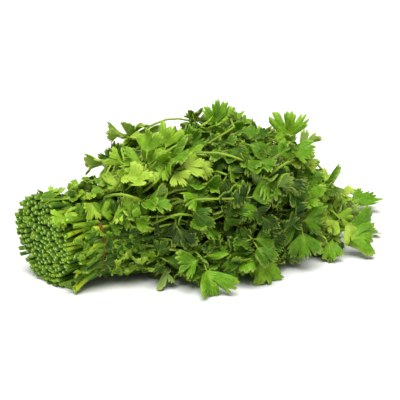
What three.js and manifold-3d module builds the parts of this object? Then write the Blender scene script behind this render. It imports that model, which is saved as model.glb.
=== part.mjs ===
// A tied bunch of fresh coriander, lying on its side on a table.
// Millimetres, +Z up. +X runs along the bunch from the cut stem ends to the leaf tips.
// The stems are packed in rings. Each node is a handful of whole leafy stems: their cut
// ends, the stems pressed together in the bundle, and the leaves that they carry.
// The origin is under the middle of the bunch, on the table.
import * as THREE from "three";
import { mergeVertices } from "three/addons/utils/BufferGeometryUtils.js";
import Module from "manifold-3d";

const wasm = await Module();
wasm.setup();

// Driving dimensions, in millimetres
const STEM_RADIUS = 2.25;
const CUT_END_RADIUS = 2;
const CUT_END_SIDES = 5;
const STALK_RADIUS = 1.3;
const RING_PITCH = 5.6;
const CUT_LEAN = 0.08;
const CUT_TURN = 0.3;
const CUT_AT_AXIS = -1.5;
const CUT_RAGGED = 2;
const AXIS_HEIGHT = 29;
const CUT_END_SHOWN = 6;
const CUT_END_ROOTED = 3;
const TIE_X = 27;
const TIE_WIDTH = 3.2;
const TIE_THICKNESS = 1.1;
const FAN_START = 60;
const CORE_NARROWS = 64;
const FIRST_STALK_X = 34;
const STALK_REACH = 40;
const STALK_ROOTED = 8;
const BLADE_THICKNESS = 0.7;
const GAP = 0.35;
const TABLE_DIP = 2;

// Rings of stems round the middle of the bundle, and the nodes that share them: one in
// the middle, four round it and nine outside. A ring's count is a multiple of its nodes.
// Stalks root in their node's core up to rootEnd, and the core reaches to coreEnd.
const LAYERS = [
  { nodes: 1, rings: [0, 1], counts: [1, 6], rootEnd: 100, coreEnd: 190 },
  { nodes: 4, rings: [2, 3], counts: [12, 20], rootEnd: 100, coreEnd: 170 },
  { nodes: 9, rings: [4, 5], counts: [27, 36], rootEnd: 56, coreEnd: 130 },
];
const OUTER_RING = 5;
const BUNDLE_RADIUS = RING_PITCH * OUTER_RING + STEM_RADIUS;
const CORE_END_SHARE = 0.4;

// The turns from a stem's outermost point at which the ribbed outside of a core has a corner
const RIB_TURNS = [-1.3, -0.43, 0.43, 1.3];

// The bundle's cross-section along X: how far it spreads sideways and upwards, and the
// height of its axis. The waist is where the tie draws it in.
const SPREAD = [
  [-12, 1.07, 1.1, 28.5],
  [TIE_X, 0.87, 0.86, 30.2],
  [FAN_START, 1.02, 1.0, 29.7],
  [150, 1.45, 1.12, 36],
  [260, 1.75, 0.55, 19],
];

// The leafy mound along X: half width at the back and at the front, and height, of the
// surface where leaves sit. Its middle is a share of its height above the table.
const MOUND = [
  [20, 31, 31, 56],
  [45, 42, 36, 66],
  [70, 55, 42, 84],
  [100, 62, 56, 91],
  [135, 62, 54, 91],
  [170, 56, 36, 78],
  [200, 50, 42, 47],
  [225, 42, 34, 23],
  [250, 26, 10, 8],
];
const MOUND_MIDDLE = 0.3;
const UNDERSIDE_SHARE = 0.75;
const LEAF_DEPTH = 9;

// Leaves look outwards, and more and more forwards from back to front of the mound. Those
// below UNDERSIDE, the sine of their angle round the axis, lie flat on the table.
const UNDERSIDE = -0.75;
const CREST_X = 120;
const CREST_FADE = 140;
const LOW_LEAF_HEIGHT = 16;

// Leaves that stand out of the mound: stalk end, the way the leaf points, the way its
// upper face looks, leaflet length and number of leaflets.
const STANDING_OUT = [
  { at: [183, 6, 72], tip: [0.25, 0, 1], face: [-0.3, -1, 0.1], length: 24, leaflets: 1 },
  { at: [48, -13, 76], tip: [-0.75, 0.1, 0.6], face: [-0.4, -0.7, 0.6], length: 15, leaflets: 3 },
  { at: [60, -21, 84], tip: [0.2, 0.2, 1], face: [-0.3, -1, 0.2], length: 20, leaflets: 3 },
  { at: [84, -52, 22], tip: [0.2, -0.8, -0.6], face: [-0.2, -0.7, 0.7], length: 23, leaflets: 3 },
  { at: [122, -50, 22], tip: [0.4, -0.7, -0.6], face: [0, -0.7, 0.7], length: 24, leaflets: 3 },
  { at: [158, -47, 34], tip: [0.1, -0.25, -1], face: [0, -1, 0.2], length: 21, leaflets: 3 },
  { at: [190, -36, 15], tip: [0.85, -0.4, -0.25], face: [0, -0.7, 0.7], length: 24, leaflets: 3 },
  { at: [224, -4, 7], tip: [1, -0.05, -0.05], face: [0, -0.3, 1], length: 28, leaflets: 1 },
  { at: [242, 36, 7], tip: [1, 0.15, -0.06], face: [0, -0.4, 0.9], length: 23, leaflets: 3 },
  { at: [120, 2, 87], tip: [0.3, 0.2, 0.6], face: [-0.1, -0.7, 0.6], length: 20, leaflets: 3 },
];

// Beyond this the leaves grow on stems from inside the bundle.
const FAR_LEAVES_X = 200;

// The rows of leaves along the mound: where each row's leaves sit along X, how many
// there are, the layer of stems that carries them, and their leaflets' length. A row
// runs back to front aslant, further along at the back than at the front.
const ROWS = [
  { x: 66, leaves: 8, layer: 2, length: [18, 22] },
  { x: 98, leaves: 9, layer: 2, length: [20, 24] },
  { x: 130, leaves: 9, layer: 2, length: [20, 25] },
  { x: 163, leaves: 8, layer: 2, length: [20, 25] },
  { x: 192, leaves: 6, layer: 1, length: [20, 25] },
  { x: 212, leaves: 4, layer: 1, length: [19, 24] },
  { x: 230, leaves: 3, layer: 0, length: [18, 23] },
];
const ROW_SLANT = 9;

// How far the rows' leaves crowd towards the top of the mound, as a share of a turn
const TOP_HEAVY = 0.05;

// Half of a leaflet's outline, from its base round to its tip, for a leaflet 1 long:
// the side lobe's two teeth, the notch and the middle lobe's shoulder.
const HALF_LEAFLET = [
  [0.47, 0.27],
  [0.52, 0.57],
  [0.22, 0.55],
  [0.3, 0.86],
];
const LEAFLET_TIP = 1.02;
const LEAFLET_STALKS = { side: 0.14, end: 0.38 };
const SIDE_TURN = 1.5;
const RIB = 0.055;
const BLADE_TAIL = 0.12;

// Every random draw comes from this one seeded sequence, in order.
let seed = 20263;
function random(low, high) {
  seed = (seed * 48271) % 2147483647;
  return low + ((high - low) * seed) / 2147483647;
}

function between(table, x) {
  if (x <= table[0][0]) return table[0].slice(1);
  for (let i = 1; i < table.length; i++) {
    if (x <= table[i][0]) {
      const share = (x - table[i - 1][0]) / (table[i][0] - table[i - 1][0]);
      return table[i].slice(1).map((v, k) => table[i - 1][k + 1] * (1 - share) + v * share);
    }
  }
  return table[table.length - 1].slice(1);
}

// The place at x of a stem that sits at (u, v) from the axis in the bundle's section.
function flow(x, u, v) {
  const [sideways, upwards, height] = between(SPREAD, x);
  return new THREE.Vector3(x, u * sideways, height + v * upwards);
}

const cutFace = (u, v) => CUT_AT_AXIS - CUT_LEAN * v - CUT_TURN * u;

// A closed three.js geometry as a solid that can be joined and cut.
function solidOf(geometry) {
  const bare = new THREE.BufferGeometry()
    .setAttribute("position", geometry.getAttribute("position").clone())
    .setIndex(geometry.index);
  const merged = mergeVertices(bare, 1e-4);
  const vertProperties = merged.attributes.position.array;
  const triVerts = new Uint32Array(merged.index.array);
  const made = new wasm.Manifold(new wasm.Mesh({ numProp: 3, vertProperties, triVerts }));
  if (made.volume() > 0) return made;
  for (let i = 0; i < triVerts.length; i += 3) {
    [triVerts[i], triVerts[i + 1]] = [triVerts[i + 1], triVerts[i]];
  }
  return new wasm.Manifold(new wasm.Mesh({ numProp: 3, vertProperties, triVerts }));
}

function geometryOf(solid) {
  const { numProp, vertProperties, triVerts } = solid.getMesh();
  const position = new Float32Array((vertProperties.length / numProp) * 3);
  for (let i = 0; i * 3 < position.length; i++) {
    position.set(vertProperties.subarray(i * numProp, i * numProp + 3), i * 3);
  }
  return new THREE.BufferGeometry()
    .setAttribute("position", new THREE.BufferAttribute(position, 3))
    .setIndex(new THREE.BufferAttribute(triVerts, 1))
    .toNonIndexed();
}

// The one connected body of a solid: sealed hollows filled, loose scraps dropped.
function oneBody(solid) {
  return solid.decompose().reduce((a, b) => (b.volume() > a.volume() ? b : a));
}

function rod(points, radius, sides, steps) {
  const section = new THREE.Shape();
  for (let i = 0; i < sides; i++) {
    const turn = (2 * Math.PI * i) / sides;
    section[i ? "lineTo" : "moveTo"](radius * Math.cos(turn), radius * Math.sin(turn));
  }
  const extrudePath = new THREE.CatmullRomCurve3(points, false, "centripetal");
  return solidOf(new THREE.ExtrudeGeometry(section, { steps, extrudePath }));
}

// Where each stem sits in the bundle's section, and the node that it belongs to.
function stemsInRings() {
  const stems = [];
  let firstNode = 0;
  LAYERS.forEach(({ nodes, rings, counts }, layer) => {
    rings.forEach((ring, k) => {
      for (let i = 0; i < counts[k]; i++) {
        const turn = (i + 0.5) / counts[k];
        const angle = 2 * Math.PI * turn;
        const u = ring * RING_PITCH * Math.cos(angle);
        const v = ring * RING_PITCH * Math.sin(angle);
        const start = cutFace(u, v) + random(-CUT_RAGGED, CUT_RAGGED);
        const node = firstNode + Math.floor(turn * nodes);
        stems.push({ node, layer, ring, angle, u, v, start, leafy: false });
      }
    });
    firstNode += nodes;
  });
  return stems;
}

// The section of a node's stems pressed together: a sector of the bundle between two
// rings, ribbed with its outermost stems where it is on the bundle's outside.
function sectorShape(layer, index, own) {
  const { nodes, rings } = LAYERS[layer];
  const inner = (rings[0] - 0.5) * RING_PITCH + GAP / 2;
  const outer = (rings[rings.length - 1] + 0.5) * RING_PITCH - GAP / 2;
  const section = new THREE.Shape();
  if (nodes === 1) return section.absarc(0, 0, outer, 0, 2 * Math.PI, false);
  const edge = (radius) => Math.asin(GAP / 2 / radius);
  const [from, to] = [index, index + 1].map((i) => (2 * Math.PI * i) / nodes);
  section.absarc(0, 0, inner, to - edge(inner), from + edge(inner), true);
  if (!rings.includes(OUTER_RING)) {
    return section.absarc(0, 0, outer, from + edge(outer), to - edge(outer), false);
  }
  for (const { u, v, angle } of own.filter((s) => s.ring === OUTER_RING)) {
    for (const turn of RIB_TURNS) {
      section.lineTo(u + STEM_RADIUS * Math.cos(angle + turn), v + STEM_RADIUS * Math.sin(angle + turn));
    }
  }
  return section;
}

// A node's core: its stems pressed together, from behind their cut ends to where the
// last of them leave it. It narrows from where they fan out.
function coreOf(layer, index, own) {
  const { coreEnd } = LAYERS[layer];
  const middle = own.reduce((sum, s) => [sum[0] + s.u / own.length, sum[1] + s.v / own.length], [0, 0]);
  const options = { depth: 3, steps: 3, bevelEnabled: false, curveSegments: layer === 0 ? 5 : 2 };
  const geometry = new THREE.ExtrudeGeometry(sectorShape(layer, index, own), options);
  const position = geometry.getAttribute("position");
  for (let i = 0; i < position.count; i++) {
    const [u, v] = [position.getX(i), position.getY(i)];
    const station = Math.round(position.getZ(i));
    const x = [cutFace(u, v), TIE_X, CORE_NARROWS, coreEnd][station];
    const share = station === 3 ? CORE_END_SHARE : 1;
    const place = flow(x, middle[0] + (u - middle[0]) * share, middle[1] + (v - middle[1]) * share);
    position.setXYZ(i, place.x, place.y, place.z);
  }
  const across = new THREE.Vector3(1, CUT_TURN, CUT_LEAN).normalize();
  const from = across.dot(new THREE.Vector3(CUT_AT_AXIS + CUT_END_SHOWN, 0, AXIS_HEIGHT));
  return solidOf(geometry).trimByPlane(across.toArray(), from);
}

// Where leaves sit on the mound: at x, and angle round the axis from the table on one
// side, over the top, to the table on the other.
function onMound(x, angle, depth) {
  const [backWidth, frontWidth, height] = between(MOUND, x);
  const width = Math.cos(angle) > 0 ? backWidth : frontWidth;
  const side = Math.sign(Math.cos(angle)) * Math.sqrt(Math.abs(Math.cos(angle)));
  const middle = MOUND_MIDDLE * height;
  const up = Math.sin(angle);
  const rise = up > 0 ? (height - middle - depth) * up : middle * UNDERSIDE_SHARE * up;
  return new THREE.Vector3(x, (width - depth) * side, middle + rise);
}

// The way that a leaf there looks. Those underneath lie flat on the table.
function outwards(x, angle) {
  if (Math.sin(angle) < UNDERSIDE) return new THREE.Vector3(0, 0.15 * Math.cos(angle), -1).normalize();
  const forward = THREE.MathUtils.clamp((x - CREST_X) / CREST_FADE, -0.5, 0.9);
  return new THREE.Vector3(forward, Math.cos(angle), Math.max(Math.sin(angle), -0.15) + 0.15).normalize();
}

// One leaf: its stalk end, its frame, and how its blade is cut and bent.
function leafAt(at, tip, face, length, leaflets) {
  const y = tip.clone().normalize();
  const z = face.clone().addScaledVector(y, -face.dot(y)).normalize();
  const x = new THREE.Vector3().crossVectors(y, z);
  const sides = [-SIDE_TURN + random(-0.12, 0.06), SIDE_TURN + random(-0.06, 0.12)];
  const turns = leaflets === 1 ? [0] : [sides[0], 0, sides[1]];
  const cut = turns.map((turn) => ({ turn, scale: turn ? random(0.8, 0.95) : 1 }));
  const shape = {
    cup: random(-0.28, 0.2),
    droop: random(0, 0.25),
    twist: random(-0.2, 0.2),
    fold: random(-0.3, 0.25),
  };
  return { at, x, y, z, length, cut, shape };
}

function leafOnMound(x, angle, length) {
  const at = onMound(x, angle, random(0, LEAF_DEPTH));
  const face = outwards(x, angle);
  const tip = new THREE.Vector3(0.8, 0.4 * Math.cos(angle), -0.35 + 0.5 * Math.max(0, Math.sin(angle)));
  tip.addScaledVector(face, random(-0.05, 0.5) - tip.dot(face)).normalize();
  tip.applyAxisAngle(face, random(-0.8, 0.8));
  if (at.z < LOW_LEAF_HEIGHT) tip.z = Math.max(tip.z, -0.15);
  return leafAt(at, tip, face, random(...length), 3);
}

function leavesByRule() {
  const leaves = STANDING_OUT.map(({ at, tip, face, length, leaflets }) => {
    const [place, ahead, out] = [at, tip, face].map((v) => new THREE.Vector3(...v));
    const layer = place.x > FAR_LEAVES_X ? 1 : 2;
    const angle = Math.atan2(place.z - AXIS_HEIGHT, place.y);
    return { layer, angle, ...leafAt(place, ahead, out, length, leaflets) };
  });
  ROWS.forEach(({ x, leaves: count, layer, length }, row) => {
    for (let i = 0; i < count; i++) {
      const turn = (i + 0.5 * (row % 2)) / count;
      const raised = turn + TOP_HEAVY * Math.sin(2 * Math.PI * turn);
      const angle = 2 * Math.PI * (raised - 0.25) + random(-0.12, 0.12);
      const slanted = x + ROW_SLANT * Math.cos(angle) + random(-7, 7);
      leaves.push({ layer, angle, ...leafOnMound(slanted, angle, length) });
    }
  });
  return leaves;
}

// A leaf's outline: x across, y towards its tip. Its leaflets meet at the stalk's end.
function bladeOutline({ length, cut }, extra) {
  const outline = new THREE.Shape().moveTo(RIB * length + extra, -BLADE_TAIL * length - extra);
  cut.forEach(({ turn, scale }, i) => {
    const stalk = cut.length === 1 ? 0 : turn ? LEAFLET_STALKS.side : LEAFLET_STALKS.end;
    const half = HALF_LEAFLET.map(([x, y]) => [x * scale * length + extra, (stalk + y * scale) * length]);
    const tip = [0, (stalk + LEAFLET_TIP * scale) * length + extra];
    for (const [x, y] of [...half, tip, ...half.reverse().map(([hx, hy]) => [-hx, hy])]) {
      outline.lineTo(x * Math.cos(turn) - y * Math.sin(turn), x * Math.sin(turn) + y * Math.cos(turn));
    }
    if (i < cut.length - 1) {
      const notch = turn ? 1 : -1;
      outline.lineTo(notch * (RIB * length + extra), 1.3 * RIB * length + extra);
    }
  });
  return outline.lineTo(-RIB * length - extra, -BLADE_TAIL * length - extra);
}

// A leaf's thin bent blade, turned, pitched and rolled by bend, and grown by extra.
function bladeOf(leaf, bend, extra) {
  const { length, shape } = leaf;
  const depth = BLADE_THICKNESS + 2 * extra;
  const options = { depth, steps: 1, bevelEnabled: false };
  const geometry = new THREE.ExtrudeGeometry(bladeOutline(leaf, extra), options);
  const position = geometry.getAttribute("position");
  for (let i = 0; i < position.count; i++) {
    const across = position.getX(i) / length;
    const along = position.getY(i) / length;
    const lift = shape.cup * across ** 2 - shape.droop * along ** 2 + shape.twist * across * along;
    const folded = shape.fold * Math.min(Math.abs(across), 0.5);
    position.setZ(i, position.getZ(i) - depth / 2 + length * (lift + folded));
  }
  const [x, y, z] = [leaf.x, leaf.y, leaf.z].map((axis) => axis.clone());
  for (const axis of [x, y]) axis.applyAxisAngle(z, bend.turn);
  for (const axis of [y, z]) axis.applyAxisAngle(x, bend.pitch);
  for (const axis of [x, z]) axis.applyAxisAngle(y, bend.roll);
  const place = new THREE.Matrix4().makeBasis(x, y, z).setPosition(leaf.at);
  return solidOf(geometry.applyMatrix4(place));
}

// A stem's way from inside its node's core to its leaf.
function stalkPath(stem, leaf) {
  const leave = Math.max(leaf.at.x - STALK_REACH, FIRST_STALK_X);
  const root = flow(leave, stem.u, stem.v);
  const rooted = flow(Math.min(leave - STALK_ROOTED, LAYERS[stem.layer].rootEnd), stem.u, stem.v);
  const back = leaf.at.clone().addScaledVector(leaf.y, -0.35 * leaf.at.distanceTo(root));
  return [rooted, root, root.clone().lerp(back, 0.6), leaf.at];
}

const stalkOf = (path, extra) => rod(path, STALK_RADIUS + extra, 3, 3);

function tie() {
  const [sideways, upwards, height] = between(SPREAD, TIE_X);
  const inner = BUNDLE_RADIUS * sideways + GAP;
  const profile = [
    [inner, -TIE_WIDTH / 2],
    [inner + TIE_THICKNESS, -TIE_WIDTH / 2],
    [inner + TIE_THICKNESS, TIE_WIDTH / 2],
    [inner, TIE_WIDTH / 2],
    [inner, -TIE_WIDTH / 2],
  ].map(([x, y]) => new THREE.Vector2(x, y));
  const geometry = new THREE.LatheGeometry(profile, 28);
  geometry.rotateZ(Math.PI / 2).translate(TIE_X, 0, 0);
  geometry.scale(1, 1, upwards / sideways).translate(0, 0, height);
  return solidOf(geometry);
}

const stems = stemsInRings();
const band = tie();
const solids = [];
LAYERS.forEach(({ nodes }, layer) => {
  for (let i = 0; i < nodes; i++) {
    const own = stems.filter((s) => s.node === solids.length);
    solids.push(coreOf(layer, i, own));
  }
});

const clearOf = (solid, others) => others.every((other) => solid.intersect(other).isEmpty());

// Ways to bend a leaf clear of the others, the smallest first.
const BENDS = [0, 0.5, -0.5].flatMap((turn) =>
  [0, 0.3, -0.3, 0.6, -0.6].flatMap((pitch) =>
    [0, 0.35, -0.35, 0.7, -0.7].map((roll) => ({ turn, pitch, roll })),
  ),
);
const RAISES = [0, 5, -4, 10];
const NEAREST_STEMS = 4;

// Puts a leaf on the nearest stem of its layer from which it reaches its place clear of
// the other nodes, and if it can, of its own node's leaves.
function addLeaf(leaf) {
  const turned = (s) => Math.acos(Math.cos(s.angle - leaf.angle));
  const apart = (s) => turned(s) - 0.2 * s.ring;
  const free = stems.filter((s) => s.layer === leaf.layer && !s.leafy);
  for (const own of [true, false]) {
    for (const raise of RAISES) {
      const raised = { ...leaf, at: leaf.at.clone().addScaledVector(leaf.z, raise) };
      for (const stem of free.sort((a, b) => apart(a) - apart(b)).slice(0, NEAREST_STEMS)) {
        const path = stalkPath(stem, raised);
        const others = [band, ...solids.filter((_, i) => i !== stem.node)];
        if (!clearOf(stalkOf(path, GAP), others)) continue;
        const all = own ? [...others, solids[stem.node]] : others;
        const bend = BENDS.find((b) => {
          const blade = bladeOf(raised, b, GAP);
          return blade.boundingBox().min[2] > -TABLE_DIP && clearOf(blade, all);
        });
        if (!bend) continue;
        stem.leafy = true;
        const leafParts = [stalkOf(path, 0), bladeOf(raised, bend, 0)];
        solids[stem.node] = wasm.Manifold.union([solids[stem.node], ...leafParts]);
        return;
      }
    }
  }
}

leavesByRule().forEach(addLeaf);

for (const { node, start, u, v } of stems) {
  const rooted = cutFace(u, v) + CUT_END_SHOWN + CUT_END_ROOTED;
  const cutEnd = rod([flow(start, u, v), flow(rooted, u, v)], CUT_END_RADIUS, CUT_END_SIDES, 1);
  solids[node] = solids[node].add(cutEnd);
}

const leafGreen = new THREE.MeshStandardMaterial({ color: 0x5f9a2f, roughness: 0.55, metalness: 0 });
const tieBrown = new THREE.MeshStandardMaterial({ color: 0x8a5a2c, roughness: 0.8, metalness: 0 });

const bunch = new THREE.Group();
solids.forEach((solid, node) => {
  const above = oneBody(solid.trimByPlane([0, 0, 1], 0));
  const mesh = new THREE.Mesh(geometryOf(above), leafGreen);
  mesh.name = `leafy_stems_${String(node + 1).padStart(2, "0")}`;
  bunch.add(mesh);
});
const tieMesh = new THREE.Mesh(geometryOf(band), tieBrown);
tieMesh.name = "tie";
bunch.add(tieMesh);

// The origin moves from the cut face to the middle of the bunch.
const box = new THREE.Box3().setFromObject(bunch);
const centre = box.getCenter(new THREE.Vector3());
bunch.position.set(-centre.x, -centre.y, -box.min.z);

export default bunch;
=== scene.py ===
# A tied bunch of fresh coriander, lying on its side on a pale table.
import math
import random

import bmesh
import bpy
from mathutils import Matrix, Vector
from mathutils.geometry import interpolate_bezier


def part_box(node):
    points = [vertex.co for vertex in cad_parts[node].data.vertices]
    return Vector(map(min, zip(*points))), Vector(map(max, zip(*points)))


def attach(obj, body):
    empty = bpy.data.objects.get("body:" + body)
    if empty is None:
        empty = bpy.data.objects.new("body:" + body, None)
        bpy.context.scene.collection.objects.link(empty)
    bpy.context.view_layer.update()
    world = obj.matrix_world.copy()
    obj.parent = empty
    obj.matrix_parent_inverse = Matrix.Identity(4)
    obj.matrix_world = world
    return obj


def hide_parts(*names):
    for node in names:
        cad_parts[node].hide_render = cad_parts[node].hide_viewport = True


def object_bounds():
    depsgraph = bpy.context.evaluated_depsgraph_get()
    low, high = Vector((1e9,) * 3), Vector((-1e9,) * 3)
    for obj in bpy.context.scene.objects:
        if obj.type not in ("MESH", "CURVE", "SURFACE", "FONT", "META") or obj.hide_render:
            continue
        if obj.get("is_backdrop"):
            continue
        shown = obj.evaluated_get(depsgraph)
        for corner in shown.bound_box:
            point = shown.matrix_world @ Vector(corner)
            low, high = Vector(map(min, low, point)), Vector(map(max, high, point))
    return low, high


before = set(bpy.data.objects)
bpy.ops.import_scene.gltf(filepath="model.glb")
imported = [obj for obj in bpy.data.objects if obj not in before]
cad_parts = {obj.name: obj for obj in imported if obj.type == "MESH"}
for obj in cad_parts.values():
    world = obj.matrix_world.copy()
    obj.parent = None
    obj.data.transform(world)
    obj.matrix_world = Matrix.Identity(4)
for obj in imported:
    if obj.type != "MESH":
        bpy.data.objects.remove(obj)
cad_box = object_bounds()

# Everything is worked out in millimetres, along the bunch from its cut face, and put
# into the frame's metres at the end. The tie says where the bunch lies in the frame.
MM = 0.001
TIE_X = 27
TIE_HEIGHT = 30.2
tie_low, tie_high = (Vector(corner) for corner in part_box("tie"))
BUNCH_TO_FRAME = (
    Matrix.Translation((tie_low + tie_high) / 2)
    @ Matrix.Scale(MM, 4)
    @ Matrix.Translation((-TIE_X, 0, -TIE_HEIGHT))
)
TIE_HALF_WIDTH = 1.2
TIE_HALF_THICKNESS = 0.6
TIE_SUNK_IN = 0.2
TIE_RADIUS = (tie_high.y - tie_low.y) / 2 / MM - TIE_SUNK_IN
TIE_SIDES = 8
TIE_STEPS = 120

# Stems stand in rings. A stem thins by a share of its thickness up to where it leaves the
# bundle, and from there to the radius of a leaf stalk.
STEM_PITCH = 3.15
STEM_RINGS = 9
STEM_RADIUS = (1.25, 1.6)
STEM_THINS_BY = 0.35
STALK_RADIUS = 0.65
BRANCH_RADIUS = 1.0
SHORT_STALK_RADII = (0.55, 0.5, 0.4)

# The cut face leans and is turned, and the stems are cut a little unevenly.
CUT_LEAN = 0.08
CUT_TURN = 0.3
CUT_AT_AXIS = -1.5
CUT_RAGGED = 0.8

# How many steps a stem has in the bundle and out of it
STEM_STATIONS = 8
STALK_STATIONS = 7
OUT_OF_BUNDLE = STEM_STATIONS / (STEM_STATIONS + STALK_STATIONS)

# The rings of the solids are wider apart. They sort the stems here into the same groups.
SOLIDS_RING_PITCH = 5.6

# Where stems leave the bundle: so far before their leaf, but not before the first place.
# A stem that lies on top leaves it a little before the place where it comes out.
STALK_REACH = (34, 50)
FIRST_OUT_X = 34
BEFORE_COMING_OUT = 18
FIRST_ON_TOP_X = 30
FREE_STEMS_REACH_X = 150

# Leaves near the far end grow from stems further in. A stem suits a leaf less the further
# round from it and from the wanted radius it is, and less again if it has a leaf already.
OUTER_STEMS_RADIUS = 26
INNER_STEMS_RADIUS = 14
FAR_LEAVES_X = 185
COST_OF_TURN = 12
COST_OF_USED = 12

# On the viewer's side the outer stems are thicker, cut further back and more slanted,
# and slope up towards the tie.
FRONT_RADIUS = (1.4, 2.1)
FRONT_SETBACK = (2, 22)
FRONT_SLOPE = (-0.05, 0.55)
FRONT_FLARE = (0.0, 0.2)
FRONT_SLANT = 0.9

# Loose stems lie outside the others, from one place round the axis on, in half turns.
LOOSE_STEMS = 22
LOOSE_FROM = 0.68
LOOSE_OVER = 0.66

# The bundle's cross-section along X: how far it spreads sideways and upwards, and the
# height of its axis. The waist is where the tie draws it in.
SPREAD = [
    (-12, 1.07, 1.1, 28.5),
    (TIE_X, 0.87, 0.86, TIE_HEIGHT),
    (60, 1.02, 1.0, 29.7),
    (150, 1.45, 1.12, 36),
    (260, 1.75, 0.55, 19),
]

# The leafy mound along X: half width at the back and at the front, and height, of the
# surface where leaves sit.
MOUND = [
    (20, 31, 31, 56),
    (45, 42, 36, 66),
    (70, 55, 42, 84),
    (100, 62, 56, 90),
    (135, 62, 54, 89),
    (170, 56, 34, 75),
    (200, 50, 42, 44),
    (225, 42, 34, 22),
    (250, 26, 8, 8),
]
TOP_HEAVY = 0.05

# Its middle as a share of its height, and how much of that the underside uses
MOUND_MIDDLE = 0.3
UNDERSIDE_SHARE = 0.75

# The way round the mound, from its whole width and its height
GIRTH_FROM_WIDTH = 0.875
GIRTH_FROM_HEIGHT = 1.75

# Leaves look forward beyond the crest, more so further on, and flat down underneath.
CREST_X = 120
CREST_LENGTH = 140
FACING_DOWN = -0.75

# Leaves in the mound, from the outside in: how deep they sit, where their rows start, the
# spacing of the rows and within a row, their leaflets' length, and how they are cut.
LEAF_LAYERS = [
    {"depth": (-2, 8), "start": 50, "rows": 9, "apart": 21, "length": (12, 21), "cut": "fine"},
    {"depth": (8, 18), "start": 56, "rows": 14, "apart": 27, "length": (15, 22), "cut": "coarse"},
    {"depth": (20, 34), "start": 62, "rows": 25, "apart": 36, "length": (15, 22), "cut": "coarse"},
]

# Stems that lie over the others: where each comes out of the mound and where its leaf is,
# along X and in turns round the axis. More lie at random on the shoulder.
STEMS_ON_TOP = [
    ((39, 0.29), (69, 0.21)),
    ((58, 0.31), (106, 0.25)),
    ((94, 0.30), (148, 0.23)),
    ((150, 0.33), (181, 0.25)),
    ((168, 0.34), (209, 0.22)),
    ((32, 0.30), (52, 0.37)),
    ((72, 0.41), (112, 0.42)),
]
ON_TOP = {"depth": (-3, 1), "length": (12, 18), "cut": "fine"}
MORE_ON_TOP = 3
MORE_FROM_TURN = 0.13
MORE_OVER_TURNS = 0.33
MORE_OUT_X = (70, 130)
MORE_REACH = (30, 45)

# Leaves start later on the side where the stems show, and end on a slanting line. Those
# lower than NEAR_TABLE don't point down steeply.
FRONT_LEAVES_START = 68
MOUND_END = 214
MOUND_END_SKEW = 0.5
NEAR_TABLE = 16

# How pale leaves are, from 0 to 1, a random spread of their own tone with painted light
# and shade on it: painted shade deepens by the millimetre of depth, painted light rises
# upwards, and it differs at the far end and above the tie, painted paler there, and on the
# front, where low leaves catch painted light and higher ones take painted shade.
TONE = 0.38
PAINTED_SHADE_PER_MM = -0.026
PAINTED_LIGHT_UPWARDS = 0.2
TONE_SPREAD = 0.19
FAR_END_X = 165
PAINTED_LIGHT_AT_FAR_END = 0.44
ABOVE_TIE_X = 90
PAINTED_LIGHT_ABOVE_TIE = 0.26
LOW_FRONT_Z = 38
PAINTED_LIGHT_LOW_FRONT = 0.12
PAINTED_SHADE_HIGH_FRONT = -0.14

# Torn leaves and bits of leaf that lie on the bundle: how many, between which places along
# X and turns round the axis, how far out from the stems, and how long they are.
SCRAPS = [
    {"count": 110, "x": (-3, 62), "turns": (0.06, 0.4), "lift": (0, 3), "length": (7, 12)},
    {"count": 40, "x": (24, 56), "turns": (0.15, 0.42), "lift": (4, 12), "length": (8, 14)},
    {"count": 80, "x": (24, 68), "turns": (0.42, 0.64), "lift": (0, 4), "length": (5, 11)},
    {"count": 8, "x": (4, 24), "turns": (0.46, 0.66), "lift": (1, 4), "length": (4, 8)},
    {"count": 50, "x": (4, 64), "turns": (-0.14, 0.08), "lift": (0, 3), "length": (6, 11)},
]
SCRAP_TONE = (0.2, 0.95)

# Leaves that stand out of the mound: stalk end, the way the leaf points, the way its
# upper face looks, leaflet length and number of leaflets.
STANDING_OUT = [
    ((178, 6, 74), (0.1, 0, 1), (-0.3, -1, 0.1), 22, 1),
    ((50, -13, 76), (-0.75, 0.1, 0.6), (-0.4, -0.7, 0.6), 13, 3),
    ((60, -21, 79), (0.2, 0.2, 1), (-0.5, -1, 0.2), 18, 3),
    ((60, -20, 66), (0.5, 0, 0.8), (-0.5, -0.8, 0.5), 20, 3),
    ((74, -14, 80), (0.3, 0, 0.9), (-0.4, -0.8, 0.5), 18, 3),
    ((84, -52, 22), (0.2, -0.8, -0.6), (-0.2, -0.7, 0.7), 23, 3),
    ((122, -50, 22), (0.4, -0.7, -0.6), (0, -0.7, 0.7), 24, 3),
    ((158, -47, 34), (0.1, -0.25, -1), (0, -1, 0.2), 21, 3),
    ((190, -36, 15), (0.85, -0.4, -0.25), (0, -0.7, 0.7), 24, 3),
    ((224, -4, 7), (1, -0.05, -0.05), (0, -0.3, 1), 28, 1),
    ((242, 36, 7), (1, 0.15, -0.06), (0, -0.4, 0.9), 23, 3),
    ((120, 2, 85), (0.15, 0.1, 0.9), (-0.1, -0.8, 0.4), 19, 3),
]
STANDING_TONE = (0.5, 0.72)
STANDING_BEND = (-0.3, 0.8)
NEAR_END_X = 80
PAINTED_LIGHT_AT_NEAR_END = 0.15

# A leaflet, 1 long, is a fan of three lobes with so many rounded teeth on each. Side lobes
# are shorter. Leaves deep in the mound are cut more coarsely.
LOBES = 3
TEETH = {"fine": 4, "coarse": 3}
POINTS_ON_TOOTH = 3
SIDE_LOBE_SHORTER = 0.16
BLADE_THICKNESS = 0.014
LEAFLET_STALKS = {"side": 0.14, "end": 0.38, "lower": 0.2}
SIDE_TURN = 1.45
LOWER_PAIR = 0.8

# A leaflet bends so much along its length, curls across it either way, and twists.
BEND = (-0.4, 1.4)
CURL = 1.1
TWIST = 0.5

rng = random.Random(2)


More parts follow.
